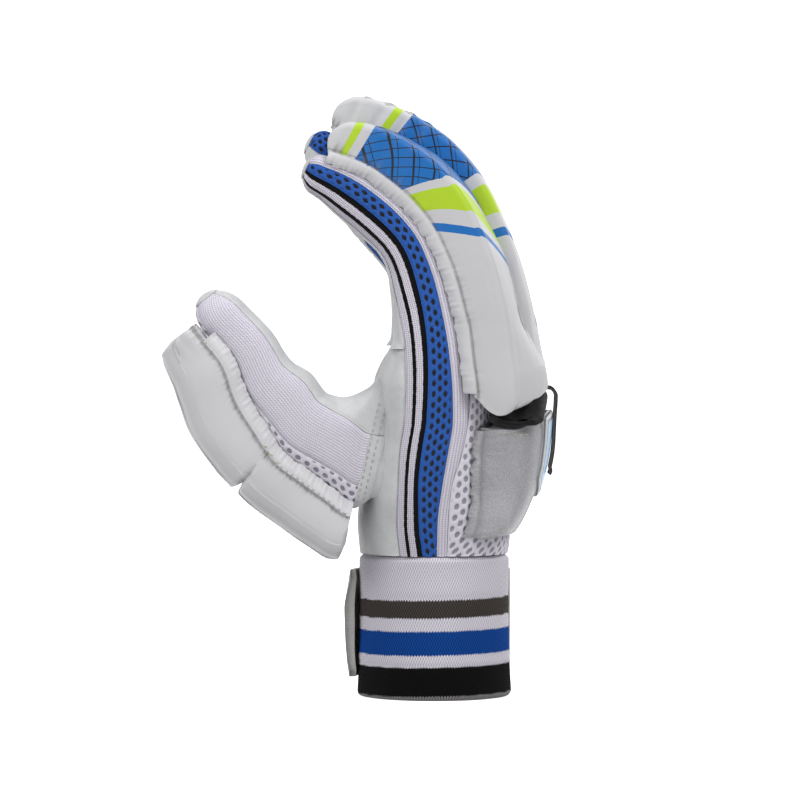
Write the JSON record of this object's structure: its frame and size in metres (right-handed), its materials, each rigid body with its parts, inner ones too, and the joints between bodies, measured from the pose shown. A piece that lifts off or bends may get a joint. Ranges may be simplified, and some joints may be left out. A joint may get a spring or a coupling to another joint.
{
  "type": "cricket batting glove",
  "caption": "Right-hand cricket batting glove, upright on its knitted cuff, with padded finger rolls, leather palm and a padded thumb.",
  "frame": {"origin": "middle of the outline seen from above, at the surface that the cuff stands on", "axes": "+Z from the cuff to the fingertips, -X the way the palm faces, -Y the thumb and index side"},
  "size_m": [0.1684, 0.1106, 0.2566],
  "materials": {
    "cuff_knit": "ribbed striped knit",
    "strap_band": "matte hook-and-loop band",
    "palm_leather": "soft grey-white leather",
    "air_mesh": "perforated spacer mesh",
    "white_knit": "fine white knit",
    "striped_tape": "ribbed tape with two black stripes",
    "blue_mesh": "open blue mesh",
    "white_pad": "smooth coated leather, printed",
    "silver_pad": "silver coated leather",
    "badge_panel": "moulded soft panel",
    "black_cloth": "folded black cloth",
    "dark_tab": "woven dark strip"
  },
  "bodies": {
    "root": {"cuff_band": "cuff_knit", "wrist_strap": "strap_band", "palm_leather": "palm_leather", "back_mesh": "air_mesh", "index_side_tape": "striped_tape", "index_mesh_tape": "blue_mesh", "index_knit_strip": "white_knit", "little_side_tape": "striped_tape", "little_mesh_tape": "blue_mesh", "little_knit_strip": "white_knit", "index_front": "palm_leather", "index_tip": "palm_leather", "index_pad": "white_pad", "index_far_gusset": "blue_mesh", "middle_front": "palm_leather", "middle_tip": "palm_leather", "middle_pad": "white_pad", "middle_near_gusset": "blue_mesh", "middle_far_gusset": "blue_mesh", "ring_front": "palm_leather", "ring_tip": "palm_leather", "ring_pad": "white_pad", "ring_near_gusset": "blue_mesh", "ring_far_gusset": "blue_mesh", "little_front": "palm_leather", "little_tip": "palm_leather", "little_pad": "white_pad", "little_near_gusset": "blue_mesh", "thumb_leather": "palm_leather", "thumb_knit_side": "white_knit", "thumb_mesh_side": "air_mesh", "thumb_far_side": "air_mesh", "thumb_tip": "palm_leather", "thumb_pad_base": "white_pad", "thumb_pad_tip": "white_pad", "wrist_pad": "silver_pad", "wrist_badge": "badge_panel", "hinge_gusset": "black_cloth", "hinge_tab": "dark_tab"}
  },
  "joints": []
}
